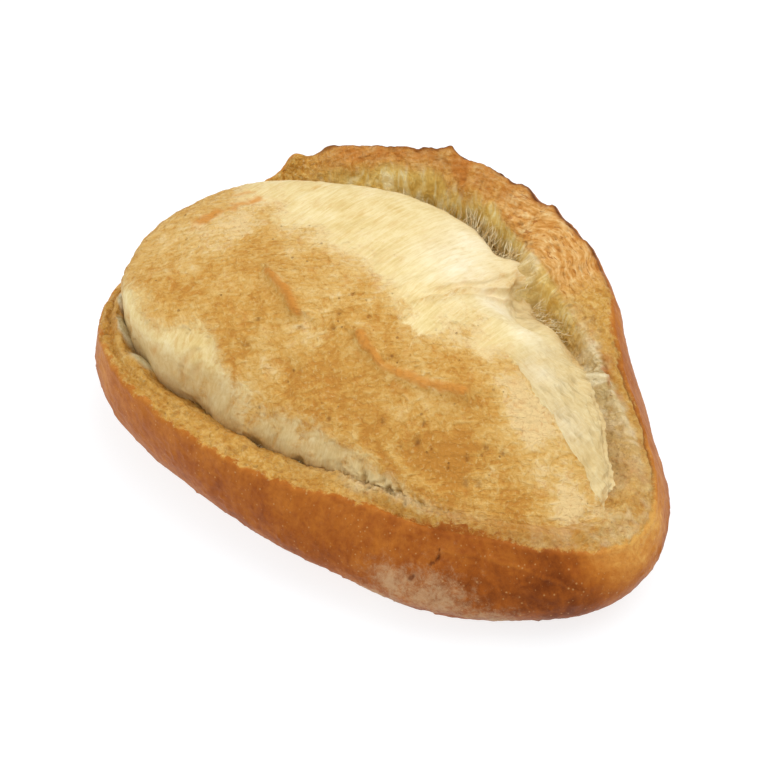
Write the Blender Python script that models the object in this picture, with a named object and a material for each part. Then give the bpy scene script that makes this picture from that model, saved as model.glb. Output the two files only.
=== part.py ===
"""A rustic Italian bread loaf: one closed solid, resting on its flat base crust.

The loaf is egg-shaped in plan, with its narrow end at +X. A cut ran all round its top, and the dough burst
open along it. Inside the cut stands a tall dome. Outside it, the lower crust ends in a torn rim: a low ledge
along the near side (-Y) and a high ear along the far side (+Y). A deep crevice runs between dome and rim.

The solid is a sphere whose vertices are moved to a section curve that changes with the angle round the loaf.
Each section runs from the top of the dome out and down to the crevice, up over the rim, down the side wall
and in along the base. A place on the section is a number: 0 is the dome's top, 2 its shoulder, 4 the crevice,
6 the rim, 7 the widest outline and 9 the edge of the flat base. The torn and lumpy relief is added along the
surface's normal. Sizes are in millimetres until the mesh is written, in metres.
"""

import math

import bmesh
import bpy
from mathutils import Vector, noise

MM = 0.001

# The mesh
COLUMNS = 132  # vertices round the loaf
ROWS = (6, 5, 4, 5, 5, 5, 5, 3, 3, 4)  # vertices along each span of the section
TOP, SHOULDER, CREVICE, RIM, BASE_EDGE = 0, 2, 4, 6, 9  # places on the section
SMALL_STEP = 0.02  # in places, to find which way the surface faces

# The section at every 30 degrees, counterclockwise from the narrow end (+X), in millimetres.
# An inset is measured inwards from the widest outline, along the line to the loaf's axis.
STEP_DEGREES = 30
DOME_HEIGHT = 98.0
OUTLINE_RADIUS = (131, 106, 92, 92, 98, 113, 129, 130, 97, 86, 90, 111)
BELLY_HEIGHT = (26, 34, 38, 38, 36, 32, 28, 26, 26, 24, 22, 22)
BASE_INSET = (24, 19, 18, 22, 24, 24, 24, 26, 30, 29, 25, 23)
RIM_INSET = (5, 16, 6, 8, 9, 12, 7, 4, 1, 7, 14, 16)
RIM_HEIGHT = (44, 66, 81, 90, 92, 86, 50, 53, 49, 48, 47, 45)
LEDGE_INSET = (12, 23, 25, 22, 15, 17, 10, 7, 8, 15, 20, 19)
LEDGE_HEIGHT = (47, 66, 78, 84, 87, 81, 48, 51, 49, 48, 47, 46)
CREVICE_INSET = (19, 28, 32, 28, 23, 23, 14, 13, 19, 24, 26, 23)
CREVICE_HEIGHT = (45, 58, 60, 60, 62, 64, 46, 44, 42, 43, 44, 45)
SHOULDER_INSET = (27, 40, 50, 40, 38, 36, 20, 14, 28, 31, 34, 35)
SHOULDER_HEIGHT = (53, 72, 79, 83, 87, 87, 81, 75, 68, 66, 62, 56)
CROWN_SHARE = 0.5  # the crown's radius, of the shoulder's
CROWN_DROP_SHARE = 0.22  # how far the crown lies below the top, of the shoulder's drop
FLANK_SHARE, FLANK_BULGE = 0.4, 1.0  # the wall's middle: its way from crevice to shoulder, and a bulge
FOOT_INSET_SHARE, FOOT_HEIGHT_SHARE = 0.4, 0.3  # the rounded foot, of the base inset and the belly's height

# Where the tear closes, opens or wanders. Each has its angle and half width in degrees, then, in millimetres,
# how far the crevice rises, how far it moves inwards and how far the shoulder moves inwards.
TEAR_CHANGES = (
    (74, 8, 16, -2, -7),  # the bridge that joins dome and ear
    (66, 3, 6, 2, 0),  # the bridge's lip, above the second hollow
    (27, 3.5, 8, -3, -3),  # a tongue of dome that reaches the rim
    (14, 8, 0, 5, 0),
    (166, 8, 6, 0, 0),
    (217, 5, -7, 3, 0),
    (232, 5, 0, 3, 0),
)

# Folds that stand up from the dome's skin, in millimetres: both ends in plan, then height and half width
FOLDS = (
    (-46, -29, -35, -31, 2.0, 4.0),
    (-35, -31, -23, -34, 2.4, 4.0),
    (3, -28, 14, -30, 2.4, 4.5),
    (14, -30, 36, -24, 1.8, 4.5),
    (36, -24, 56, -10, 1.4, 4.5),
    (-4, 12, 22, 44, 2.6, 6.0),
)
# Hollows in the dome, in millimetres: centre in plan, depth and half width
HOLLOWS = (
    (38, 0, 3.5, 17),
    (34, 34, 3.0, 9),
    (-18, -52, 1.8, 7),
    (-98, -38, 1.5, 14),
)

# Crags on the ear's crest: angle and half width in degrees, and height in millimetres
CRAGS = (
    (157, 2.0, 5.0),
    (149, 2.5, 2.0),
    (118, 2.0, 3.5),
    (84, 3.0, 1.5),
    (66, 3.5, 2.0),
)

# Relief: height in millimetres and the width of one lump, in millimetres or degrees
CREST_RELIEF, CREST_LUMP_DEGREES = 1.8, 6.0
PLEAT_RELIEF, PLEAT_DEGREES = 2.6, 5.5
CRUMB_RELIEF, CRUMB_LUMP = 2.0, 8.0
SKIN_RELIEF, SKIN_LUMP = 1.3, 34.0
CRUST_RELIEF, CRUST_LUMP = 1.4, 30.0
EAR_START, EAR_END = 50, 158  # degrees
EAR_FADE = 12
NARROW_TEAR, WIDE_TEAR = 4.0, 16.0  # crumb relief grows with the tear's width
BASE_FADE = 3.0  # relief fades out over this height above the base


def around(values, degrees):
    """The stations' value at an angle, as a smooth closed curve through them."""
    step = degrees / STEP_DEGREES
    start = math.floor(step)
    t = step - start
    a, b, c, d = (values[(start + k) % len(values)] for k in (-1, 0, 1, 2))
    return b + t * (c - a + t * (2 * a - 5 * b + 4 * c - d + t * (3 * (b - c) + d - a))) / 2


def bump(distance, half_width):
    """1 at no distance, 0.37 at the half width, falling smoothly to 0."""
    return math.exp(-((distance / half_width) ** 2))


def ramp(value, low, high):
    """0 up to the low value, 1 from the high one, smooth between."""
    t = max(0.0, min(1.0, (value - low) / (high - low)))
    return t * t * (3 - 2 * t)


def degrees_apart(a, b):
    return (a - b + 180) % 360 - 180


def lumps(point, width, seed):
    """Noise between about -1 and 1, with lumps of about this width."""
    return noise.noise(point * (0.5 / width) + Vector((seed * 7.3, seed * 3.1, seed * 5.7))) * 1.7


def share_of_ear(degrees):
    return ramp(degrees, EAR_START, EAR_START + EAR_FADE) * (1 - ramp(degrees, EAR_END - EAR_FADE, EAR_END))


def crest_rise(degrees):
    """How far the ear's jagged crest stands above its smooth height."""
    rise = CREST_RELIEF * lumps(Vector((degrees, 0, 0)), CREST_LUMP_DEGREES, 1) * share_of_ear(degrees)
    for angle, half_width, height in CRAGS:
        rise += height * bump(degrees_apart(degrees, angle), half_width)
    return rise


def section(degrees):
    """The section's control points (radius, height) at an angle, from the dome's top to the base's middle."""
    outline = around(OUTLINE_RADIUS, degrees)
    belly = around(BELLY_HEIGHT, degrees)
    base_inset = around(BASE_INSET, degrees)
    rise = crest_rise(degrees)
    rim = (outline - around(RIM_INSET, degrees), around(RIM_HEIGHT, degrees) + rise)
    ledge = (outline - around(LEDGE_INSET, degrees), around(LEDGE_HEIGHT, degrees) + rise / 2)
    crevice_inset, crevice_height = around(CREVICE_INSET, degrees), around(CREVICE_HEIGHT, degrees)
    shoulder_inset = around(SHOULDER_INSET, degrees)
    for angle, half_width, crevice_rise, crevice_shift, shoulder_shift in TEAR_CHANGES:
        share = bump(degrees_apart(degrees, angle), half_width)
        crevice_height += crevice_rise * share
        crevice_inset += crevice_shift * share
        shoulder_inset += shoulder_shift * share
    crevice = (outline - crevice_inset, crevice_height)
    shoulder = (outline - shoulder_inset, around(SHOULDER_HEIGHT, degrees))
    crown = (shoulder[0] * CROWN_SHARE, DOME_HEIGHT - (DOME_HEIGHT - shoulder[1]) * CROWN_DROP_SHARE)
    flank_radius = crevice[0] + (shoulder[0] - crevice[0]) * FLANK_SHARE + FLANK_BULGE
    flank = (flank_radius, (shoulder[1] + crevice[1]) / 2)
    foot = (outline - FOOT_INSET_SHARE * base_inset, FOOT_HEIGHT_SHARE * belly)
    return [
        (0.0, DOME_HEIGHT),
        crown,
        shoulder,
        flank,
        crevice,
        ledge,
        rim,
        (outline, belly),
        foot,
        (outline - base_inset, 0.0),
        (0.0, 0.0),
    ]


def along(points, span, t):
    """A point on the smooth curve through the control points, t of the way along one span."""
    b, c = Vector(points[span]), Vector(points[span + 1])
    if span == len(points) - 2:
        return b.lerp(c, t)
    a = Vector(points[span - 1]) if span else Vector((-c.x, c.y))
    d = Vector(points[span + 2])
    knots = [0.0]
    for near, far in ((a, b), (b, c), (c, d)):
        knots.append(knots[-1] + max((far - near).length, 1e-6) ** 0.5)
    k0, k1, k2, k3 = knots
    k = k1 + (k2 - k1) * t
    ab = a.lerp(b, (k - k0) / (k1 - k0))
    bc = b.lerp(c, (k - k1) / (k2 - k1))
    cd = c.lerp(d, (k - k2) / (k3 - k2))
    abc = ab.lerp(bc, (k - k0) / (k2 - k0))
    bcd = bc.lerp(cd, (k - k1) / (k3 - k1))
    return abc.lerp(bcd, (k - k1) / (k2 - k1))


def smooth_point(degrees, place):
    """The loaf's surface without its relief, at an angle and a place on the section."""
    span = min(int(place), len(ROWS) - 1)
    radius, height = along(section(degrees), span, place - span)
    turn = math.radians(degrees)
    return Vector((radius * math.cos(turn), radius * math.sin(turn), height))


def distance_to_fold(point, x0, y0, x1, y1):
    """Distance in plan from a point to the line between two others."""
    start, end, here = Vector((x0, y0)), Vector((x1, y1)), Vector((point.x, point.y))
    run = end - start
    t = max(0.0, min(1.0, (here - start).dot(run) / run.length_squared))
    return (here - start - run * t).length


def relief(degrees, place, point):
    """How far the surface stands out of the smooth form here, in millimetres."""
    in_ear = share_of_ear(degrees)
    tear_width = around(CREVICE_INSET, degrees) - around(RIM_INSET, degrees)
    crumb = ramp(place, CREVICE + 0.2, CREVICE + 0.8) * (1 - ramp(place, RIM - 0.3, RIM + 0.3))
    crumb *= ramp(tear_width, NARROW_TEAR, WIDE_TEAR)
    skin = 1 - ramp(place, SHOULDER + 0.5, SHOULDER + 1.5)
    crust = ramp(place, RIM + 0.1, RIM + 0.8)
    height = PLEAT_RELIEF * lumps(Vector((degrees, 3 * place, 0)), PLEAT_DEGREES, 2) * crumb * in_ear
    height += CRUMB_RELIEF * lumps(point, CRUMB_LUMP, 3) * crumb * (1 - 0.5 * in_ear)
    height += SKIN_RELIEF * lumps(point, SKIN_LUMP, 4) * skin
    height += CRUST_RELIEF * lumps(point, CRUST_LUMP, 5) * crust
    if place < SHOULDER + 0.6:
        for x0, y0, x1, y1, fold_height, half_width in FOLDS:
            height += fold_height * bump(distance_to_fold(point, x0, y0, x1, y1), half_width)
        for x, y, depth, half_width in HOLLOWS:
            height -= depth * bump(math.hypot(point.x - x, point.y - y), half_width)
    return height


def loaf_point(degrees, place):
    """The loaf's surface at an angle and a place on the section, relief and all."""
    point = smooth_point(degrees, place)
    if place >= BASE_EDGE:
        return point
    normal = Vector((0.0, 0.0, 1.0))
    if place > TOP:
        down = smooth_point(degrees, place + SMALL_STEP) - smooth_point(degrees, place - SMALL_STEP)
        turn = math.radians(degrees)
        normal = down.cross(Vector((-math.sin(turn), math.cos(turn), 0.0))).normalized()
    return point + normal * relief(degrees, place, point) * ramp(point.z, 0.0, BASE_FADE)


def make_loaf():
    rows = sum(ROWS)
    places = [span + step / count for span, count in enumerate(ROWS) for step in range(count)] + [len(ROWS)]
    shape = bmesh.new()
    bmesh.ops.create_uvsphere(shape, u_segments=COLUMNS, v_segments=rows, radius=1.0)
    for vertex in shape.verts:
        row = round(math.acos(max(-1.0, min(1.0, vertex.co.z))) / math.pi * rows)
        degrees = math.degrees(math.atan2(vertex.co.y, vertex.co.x)) % 360
        vertex.co = loaf_point(degrees, places[row]) * MM
    low, high = (Vector([pick(v.co[axis] for v in shape.verts) for axis in range(3)]) for pick in (min, max))
    middle = Vector(((low.x + high.x) / 2, (low.y + high.y) / 2, low.z))
    bmesh.ops.translate(shape, verts=shape.verts, vec=-middle)
    bmesh.ops.recalc_face_normals(shape, faces=shape.faces)
    for face in shape.faces:
        face.smooth = True
    mesh = bpy.data.meshes.new("bread_loaf")
    shape.to_mesh(mesh)
    shape.free()
    return bpy.data.objects.new("bread_loaf", mesh)


def crust_material():
    material = bpy.data.materials.new("baked crust")
    material.use_nodes = True
    shader = material.node_tree.nodes["Principled BSDF"]
    shader.inputs["Base Color"].default_value = (0.61, 0.33, 0.09, 1.0)
    shader.inputs["Roughness"].default_value = 0.7
    shader.inputs["Metallic"].default_value = 0.0
    return material


def main():
    for old in list(bpy.data.objects):
        bpy.data.objects.remove(old)
    collection = bpy.data.collections.new("italian_loaf")
    bpy.context.scene.collection.children.link(collection)
    loaf = make_loaf()
    loaf.data.materials.append(crust_material())
    collection.objects.link(loaf)


main()
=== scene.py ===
# A rustic Italian bread loaf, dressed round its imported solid: a lower crust with a torn rim and a high ear, a pale
# dome with a golden skin inside it, and strands of dough across the tear. The form is in millimetres and degrees, the
# scene in metres.
import math
import random
from functools import partial, reduce

import bmesh
import bpy
import numpy as np
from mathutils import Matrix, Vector, noise
from numpy.linalg import norm


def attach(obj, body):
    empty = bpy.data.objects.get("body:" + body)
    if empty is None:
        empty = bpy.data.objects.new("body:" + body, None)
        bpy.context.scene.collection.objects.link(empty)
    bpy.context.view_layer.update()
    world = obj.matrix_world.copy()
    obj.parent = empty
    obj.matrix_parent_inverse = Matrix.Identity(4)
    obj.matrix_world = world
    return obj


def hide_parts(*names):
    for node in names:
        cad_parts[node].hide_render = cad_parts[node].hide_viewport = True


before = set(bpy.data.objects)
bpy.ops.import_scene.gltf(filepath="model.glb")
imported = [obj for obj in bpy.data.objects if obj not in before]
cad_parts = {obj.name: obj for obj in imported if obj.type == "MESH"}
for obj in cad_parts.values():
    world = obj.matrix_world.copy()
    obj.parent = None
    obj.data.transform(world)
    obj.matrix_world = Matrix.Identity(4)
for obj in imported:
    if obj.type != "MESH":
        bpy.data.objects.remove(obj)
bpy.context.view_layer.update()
mm = 0.001
detail = 1  # share of the vertices each way: 1 for all of them, 0.5 for half as many

# camera, where the photograph was taken from
cameraSettings = {
    "azimuth": 42,
    "elevation": 45,
    "distance": 1.2,
    "lens": 137,
    "target": (-0.0033, -0.0105, 0.045),
}


def addObject(name, data):
    thing = bpy.data.objects.new(name, data)
    bpy.context.scene.collection.objects.link(thing)
    return thing


def aimed(name, data, spot, direction):
    thing = addObject(name, data)
    thing.location = spot
    thing.rotation_mode = "QUATERNION"
    thing.rotation_quaternion = direction.to_track_quat("-Z", "Y")
    return thing


def makeCamera(settings):
    turn, lift = math.radians(settings["azimuth"]), math.radians(settings["elevation"])
    back = Vector((math.sin(turn) * math.cos(lift), -math.cos(turn) * math.cos(lift), math.sin(lift)))
    data = bpy.data.cameras.new("photo camera")
    data.lens = settings["lens"]
    data.sensor_width = 36
    spot = Vector(settings["target"]) + back * settings["distance"]
    bpy.context.scene.camera = aimed("photo_camera", data, spot, -back)


makeCamera(cameraSettings)
print("camera set")

# the loaf's form: sections at every 30 degrees, counterclockwise from the narrow end (+X)
# A place on a section is a number: 0 dome's top, 1 crown, 2 shoulder, 3 flank, 4 crevice, 5 ledge, 6 rim,
# 7 widest outline, 8 foot, 9 edge of the flat base, 10 its middle.
form = {
    "stepDegrees": 30,
    "middle": (0.33, 3.49),  # plan middle of the form, which the frame has at its origin
    "domeHeight": 98,
    "stations": {
        "outlineRadius": (131, 106, 92, 92, 98, 113, 129, 130, 97, 86, 90, 111),
        "bellyHeight": (26, 34, 38, 38, 36, 32, 28, 26, 26, 24, 22, 22),
        "baseInset": (24, 19, 18, 22, 24, 24, 24, 26, 30, 29, 25, 23),
        "rimInset": (5, 16, 6, 8, 9, 12, 7, 4, 1, 7, 14, 16),
        "rimHeight": (44, 66, 81, 90, 92, 86, 50, 53, 49, 48, 47, 45),
        "ledgeInset": (12, 23, 25, 22, 15, 17, 10, 7, 8, 15, 20, 19),
        "ledgeHeight": (47, 66, 78, 84, 87, 81, 48, 51, 49, 48, 47, 46),
        "creviceInset": (19, 28, 32, 28, 23, 23, 14, 13, 19, 24, 26, 23),
        "creviceHeight": (45, 58, 60, 60, 62, 64, 46, 44, 42, 43, 44, 45),
        "shoulderInset": (27, 40, 50, 40, 38, 36, 20, 14, 28, 31, 34, 35),
        "shoulderHeight": (53, 72, 79, 83, 87, 87, 81, 75, 68, 66, 62, 56),
    },
    "crownShare": 0.5,
    "crownDropShare": 0.22,
    "flankShare": 0.4,
    "flankBulge": 1,
    "footInsetShare": 0.4,
    "footHeightShare": 0.3,
    # where the tear closes or wanders: angle, half width, crevice rise, crevice shift and shoulder shift inwards
    "tearChanges": (
        (74, 8, 16, -2, -7), (66, 3, 6, 2, 0), (27, 3.5, 8, -3, -3), (14, 8, 0, 5, 0), (166, 8, 6, 0, 0),
        (217, 5, -7, 3, 0), (232, 5, 0, 3, 0),
    ),
    # crags on the ear's crest: angle, half width, height
    "crags": ((157, 2, 5), (149, 2.5, 2), (118, 2, 3.5), (84, 3, 1.5), (66, 3.5, 2)),
    "crestRelief": ((1.8, 6, 1), (0.8, 2, 21), (0.4, 0.8, 22)),  # height, width in degrees, seed
    "earStart": 50,
    "earEnd": 158,
    "earFade": 12,
    # hidden ends of the dome and the crust: a lap beyond the crevice, and the height at which each closes
    "domeLap": (-1.5, -9),
    "domeClose": 34,
    "crustLap": (-9, -2.5),
    "crustClose": 38,
    # how open the crevice is, and how much painted shade lies in it: angle, half width, share
    "openings": (
        (211, 4, 0.2), (221, 4, 0.25), (234, 6, 0.55), (255, 9, 0.7), (275, 7, 0.6), (300, 8, 0.3), (47, 7, 0.2),
        (60, 6, 0.3), (95, 9, 0.75), (112, 14, 1), (140, 18, 1), (165, 12, 0.7), (188, 9, 0.2), (10, 8, 0.25),
    ),
}


def around(values, degrees):  # the stations' value at an angle, on a smooth closed curve
    values = np.asarray(values, float)
    step = np.asarray(degrees, float) / form["stepDegrees"]
    start = np.floor(step).astype(int)
    t = step - start
    a, b, c, d = (values[(start + k) % len(values)] for k in (-1, 0, 1, 2))
    return b + t * (c - a + t * (2 * a - 5 * b + 4 * c - d + t * (3 * (b - c) + d - a))) / 2


def bump(distance, half):
    return np.exp(-((distance / half) ** 2))


def wedge(degrees, middle, half):
    return bump(degreesApart(degrees, middle), half)


def highest(*fields):
    return reduce(np.maximum, fields)


def ramp(value, low, high):
    t = np.clip((value - low) / (high - low), 0, 1)
    return t * t * (3 - 2 * t)


def fade(value, low, high):
    return 1 - ramp(value, low, high)


def degreesApart(a, b):
    return (a - b + 180) % 360 - 180


def formLumps(points, width, seed):  # the solid's own broad lumps, between about -1 and 1
    shift = Vector((seed * 7.3, seed * 3.1, seed * 5.7))
    flat = np.reshape(points, (-1, 3)) * (0.5 / width)
    return np.array([noise.noise(Vector(p) + shift) for p in flat.tolist()]).reshape(np.shape(points)[:-1]) * 1.7


def hashed(ix, iy, iz, seed):  # a repeatable number from 0 to 1 for each whole-numbered cell
    h = (ix * 374761393 + iy * 668265263 + iz * 1442695041 + seed * 974634777) & 0xFFFFFFFF
    h = ((h ^ (h >> 13)) * 1274126177) & 0xFFFFFFFF
    return ((h ^ (h >> 16)) & 0xFFFFFF) / 0xFFFFFF


def soft(points, width, seed, octaves=1):  # smooth noise between -1 and 1, finer and lower on top of itself
    total, weight = 0, 0
    for octave in range(octaves):
        scaled = points * (2 ** octave / width) + seed * 3.17 + octave * 9.1
        cell = np.floor(scaled).astype(np.int64)
        t = scaled - cell
        t = t * t * t * (t * (t * 6 - 15) + 10)
        value = 0
        for corner in range(8):
            cx, cy, cz = corner & 1, corner >> 1 & 1, corner >> 2
            share = (t[..., 0] if cx else 1 - t[..., 0]) * (t[..., 1] if cy else 1 - t[..., 1])
            share = share * (t[..., 2] if cz else 1 - t[..., 2])
            value = value + share * hashed(cell[..., 0] + cx, cell[..., 1] + cy, cell[..., 2] + cz, seed + octave)
        total = total + (value * 2 - 1) / 2 ** octave
        weight += 1 / 2 ** octave
    return total / weight * 1.4


def ridged(points, width, seed, octaves=3):  # 0 to 1, with sharp crests
    total = sum((1 - abs(soft(points, width / 2 ** k, seed + 7 * k))) ** 2 / 2 ** k for k in range(octaves))
    return np.clip(total / (2 - 2 / 2 ** octaves), 0, 1)


def pores(points, width, seed):  # distance to the nearest cell's middle, and how near the wall between two cells
    scaled = points / width + seed * 1.73
    cell = np.floor(scaled).astype(np.int64)
    first = np.full(points.shape[:-1], 9.0)
    second = first.copy()
    for dx in (-1, 0, 1):
        for dy in (-1, 0, 1):
            for dz in (-1, 0, 1):
                near = cell + (dx, dy, dz)
                middle = np.stack([near[..., k] + hashed(near[..., 0], near[..., 1], near[..., 2], seed + 31 * k)
                                   for k in range(3)], axis=-1)
                distance = np.sqrt(((scaled - middle) ** 2).sum(axis=-1))
                second = np.minimum(second, highest(first, distance))
                first = np.minimum(first, distance)
    return first, 1 - np.clip((second - first) / 0.5, 0, 1)


def shareOfEar(degrees):
    rise = ramp(degrees, form["earStart"], form["earStart"] + form["earFade"])
    return rise * (1 - ramp(degrees, form["earEnd"] - form["earFade"], form["earEnd"]))


def openness(degrees):
    share = 0
    for angle, half, amount in form["openings"]:
        share = highest(share, amount * wedge(degrees, angle, half))
    return share


def crestRise(degrees):
    turned = np.stack((degrees, degrees * 0, degrees * 0), axis=-1)
    rise = sum(height * formLumps(turned, width, seed) for height, width, seed in form["crestRelief"])
    rise *= shareOfEar(degrees)
    for angle, half, height in form["crags"]:
        rise += height * wedge(degrees, angle, half)
    return rise


def sections(degrees):  # for each angle, the control points (radius, height) from the dome's top to the base's middle
    degrees = np.asarray(degrees, float)
    (outline, belly, baseInset, rimInset, rimHeight, ledgeInset, ledgeHeight, creviceInset, creviceHeight,
     shoulderInset, shoulderHeight) = (around(values, degrees) for values in form["stations"].values())
    rise = crestRise(degrees)
    for angle, half, creviceRise, creviceShift, shoulderShift in form["tearChanges"]:
        share = wedge(degrees, angle, half)
        creviceHeight = creviceHeight + creviceRise * share
        creviceInset = creviceInset + creviceShift * share
        shoulderInset = shoulderInset + shoulderShift * share
    creviceRadius, shoulderRadius = outline - creviceInset, outline - shoulderInset
    top = form["domeHeight"]
    flankRadius = creviceRadius + (shoulderRadius - creviceRadius) * form["flankShare"] + form["flankBulge"]
    none = outline * 0
    return np.stack([np.stack(pair, axis=-1) for pair in (
        (none, none + top),
        (shoulderRadius * form["crownShare"], top - (top - shoulderHeight) * form["crownDropShare"]),
        (shoulderRadius, shoulderHeight),
        (flankRadius, (shoulderHeight + creviceHeight) / 2),
        (creviceRadius, creviceHeight),
        (outline - ledgeInset, ledgeHeight + rise / 2),
        (outline - rimInset, rimHeight + rise),
        (outline, belly),
        (outline - form["footInsetShare"] * baseInset, form["footHeightShare"] * belly),
        (outline - baseInset, none),
        (none, none),
    )], axis=1)


def lapped(crevice, piece):  # control points of a hidden end: beyond the crevice, and on the loaf's axis
    return [(crevice + form[piece + "Lap"])[:, None], (crevice * 0 + (0, form[piece + "Close"]))[:, None]]


def domePath(degrees):  # the dome's own path, which ends hidden inside the crust
    points = sections(degrees)
    return np.concatenate([points[:, :5]] + lapped(points[:, 4], "dome"), axis=1)


def crustPath(degrees):  # the crust's own path, which starts hidden under the dome
    points = sections(degrees)
    return np.concatenate(lapped(points[:, 4], "crust")[::-1] + [points[:, 4:]], axis=1)


def along(points, span, t):  # points on the smooth curve through each row of control points
    n = np.arange(len(points))
    last = points.shape[1] - 2
    b, c = points[n, span], points[n, span + 1]
    mirrored = points[:, 1] * (-1, 1)
    a = np.where((span > 0)[:, None], points[n, highest(span - 1, 0)], mirrored)
    d = points[n, np.minimum(span + 2, last + 1)]
    knots = [np.zeros(len(points))]
    for near, far in ((a, b), (b, c), (c, d)):
        knots.append(knots[-1] + highest(norm(far - near, axis=1), 1e-6) ** 0.5)
    k0, k1, k2, k3 = (k[:, None] for k in knots)
    t = t[:, None]
    k = k1 + (k2 - k1) * t
    ab = a + (b - a) * (k - k0) / (k1 - k0)
    bc = b + (c - b) * (k - k1) / (k2 - k1)
    cd = c + (d - c) * (k - k2) / (k3 - k2)
    abc = ab + (bc - ab) * (k - k0) / (k2 - k0)
    bcd = bc + (cd - bc) * (k - k1) / (k3 - k1)
    curve = abc + (bcd - abc) * (k - k1) / (k2 - k1)
    return np.where((span == last)[:, None], b + (c - b) * t, curve)


def placed(profile, degrees):  # (radius, height) at an angle, as a point
    turn = np.radians(degrees)
    return np.stack((profile[..., 0] * np.cos(turn), profile[..., 0] * np.sin(turn), profile[..., 1]), axis=-1)


def surfacePoints(degrees, places):  # on the smooth form, for things that are laid on it
    degrees, places = np.asarray(degrees, float), np.asarray(places, float)
    span = np.minimum(places.astype(int), 9)
    return placed(along(sections(degrees), span, places - span), degrees)


def layOut(columns, rows, path, firstPlace):
    # rings of points down the path: row 0 is the first pole, the last row is the other one
    columns, rows = int(columns * detail), [max(1, round(n * detail)) for n in rows]
    places = [firstPlace + span + step / n for span, n in enumerate(rows) for step in range(n)]
    places = np.array(places + [firstPlace + len(rows)])
    degrees = np.arange(columns) * 360 / columns
    controls = path(degrees)
    span = np.minimum((places - firstPlace).astype(int), len(rows) - 1)
    profile = np.array([along(controls, np.full(columns, s), np.full(columns, p - firstPlace - s))
                        for s, p in zip(span, places)])
    points = placed(profile, degrees[None, :])
    down = np.gradient(points, axis=0)
    across = np.roll(points, -1, axis=1) - np.roll(points, 1, axis=1)
    normals = np.cross(down, across)
    normals /= highest(norm(normals, axis=-1, keepdims=True), 1e-9)
    normals[0], normals[-1] = (0, 0, 1), (0, 0, -1)
    steps = norm(np.diff(points, axis=0), axis=-1)
    run = np.concatenate((np.zeros((1, columns)), np.cumsum(steps, axis=0)))
    turn = np.radians(degrees)[None, :] + run * 0
    return {
        "columns": columns,
        "rows": len(places) - 1,
        "degrees": degrees[None, :] + run * 0,
        "place": places[:, None] + run * 0,
        "points": points,
        "normals": normals,
        "run": run,
        "flow": np.stack((100 * np.cos(turn), 100 * np.sin(turn), run), axis=-1),
    }


def meshFrom(name, create, **options):  # one of bmesh's own shapes as a mesh
    shape = bmesh.new()
    create(shape, **options)
    mesh = bpy.data.meshes.new(name)
    shape.to_mesh(mesh)
    shape.free()
    return mesh


def corners(mesh):
    flat = np.zeros(len(mesh.vertices) * 3)
    mesh.vertices.foreach_get("co", flat)
    return flat.reshape(-1, 3)


def setCorners(mesh, points):  # from the form's millimetres to the frame's metres
    mesh.vertices.foreach_set("co", ((points - (*form["middle"], 0)) * mm).ravel())


def makePiece(name, sheet, points, fields, material):
    # a grid laid on the sheet, closed along its seam and at both poles by merging
    columns, rows = sheet["columns"], sheet["rows"]
    mesh = meshFrom(name, bmesh.ops.create_grid, x_segments=columns, y_segments=rows, size=0.5)
    flat = corners(mesh)
    column = np.rint((flat[:, 0] + 0.5) * columns).astype(int) % columns
    row = np.rint((0.5 - flat[:, 1]) * rows).astype(int)
    column[(row == 0) | (row == rows)] = 0
    setCorners(mesh, points[row, column])
    mesh.attributes.new("flow", "FLOAT_VECTOR", "POINT").data.foreach_set(
        "vector", (sheet["flow"] * mm)[row, column].ravel())
    for label, four in fields.items():
        mesh.attributes.new(label, "FLOAT_COLOR", "POINT").data.foreach_set(
            "color", np.stack(four, axis=-1)[row, column].ravel())
    return finishPiece(mesh, name, material, True)


def finishPiece(mesh, name, material, seams):
    shape = bmesh.new()
    shape.from_mesh(mesh)
    if seams:
        bmesh.ops.remove_doubles(shape, verts=shape.verts, dist=1e-8)
    bmesh.ops.recalc_face_normals(shape, faces=shape.faces)
    for face in shape.faces:
        face.smooth = True
    shape.to_mesh(mesh)
    shape.free()
    piece = addObject(name, mesh)
    piece.data.materials.append(material)
    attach(piece, "root")
    return piece


def fromLine(xs, ys, x0, y0, x1, y1):  # distance in plan to a line between two points
    dx, dy = x1 - x0, y1 - y0
    t = np.clip(((xs - x0) * dx + (ys - y0) * dy) / (dx * dx + dy * dy), 0, 1)
    return np.hypot(xs - x0 - t * dx, ys - y0 - t * dy)


def depthInside(outline, xs, ys):  # distance in plan to a closed outline, positive inside it
    nearest = np.full(xs.shape, 1e9)
    inside = np.zeros(xs.shape, bool)
    for (x0, y0), (x1, y1) in zip(outline, outline[1:] + outline[:1]):
        nearest = np.minimum(nearest, fromLine(xs, ys, x0, y0, x1, y1))
        inside ^= ((y0 > ys) != (y1 > ys)) & (xs < x0 + (x1 - x0) * (ys - y0) / (y1 - y0 or 1e-9))
    return np.where(inside, nearest, -nearest)


def spots(xs, ys, rows):  # round spots in plan
    return [amount * bump(np.hypot(xs - x, ys - y), half) for x, y, half, amount in rows]


def stirred(points, amount, width, seed):  # points pushed about by noise
    return points + amount * np.stack([soft(points, width, seed + k, 2) for k in range(3)], axis=-1)


def scattered(count, seed, spread):  # repeatable random rows of values between each pair of limits
    dice = random.Random(seed)
    return [tuple(dice.uniform(low, high) for low, high in spread) for _ in range(count)]


# materials
def srgb(code):  # "c8a060" to a linear colour
    channels = [int(code[k:k + 2], 16) / 255 for k in (0, 2, 4)]
    return tuple(c / 12.92 if c <= 0.04045 else ((c + 0.055) / 1.055) ** 2.4 for c in channels) + (1,)


def perMm(size):  # texture scale for one feature per this many millimetres, on coordinates in metres
    return 1000 / size


making = {}  # the node tree that new nodes go into


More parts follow.
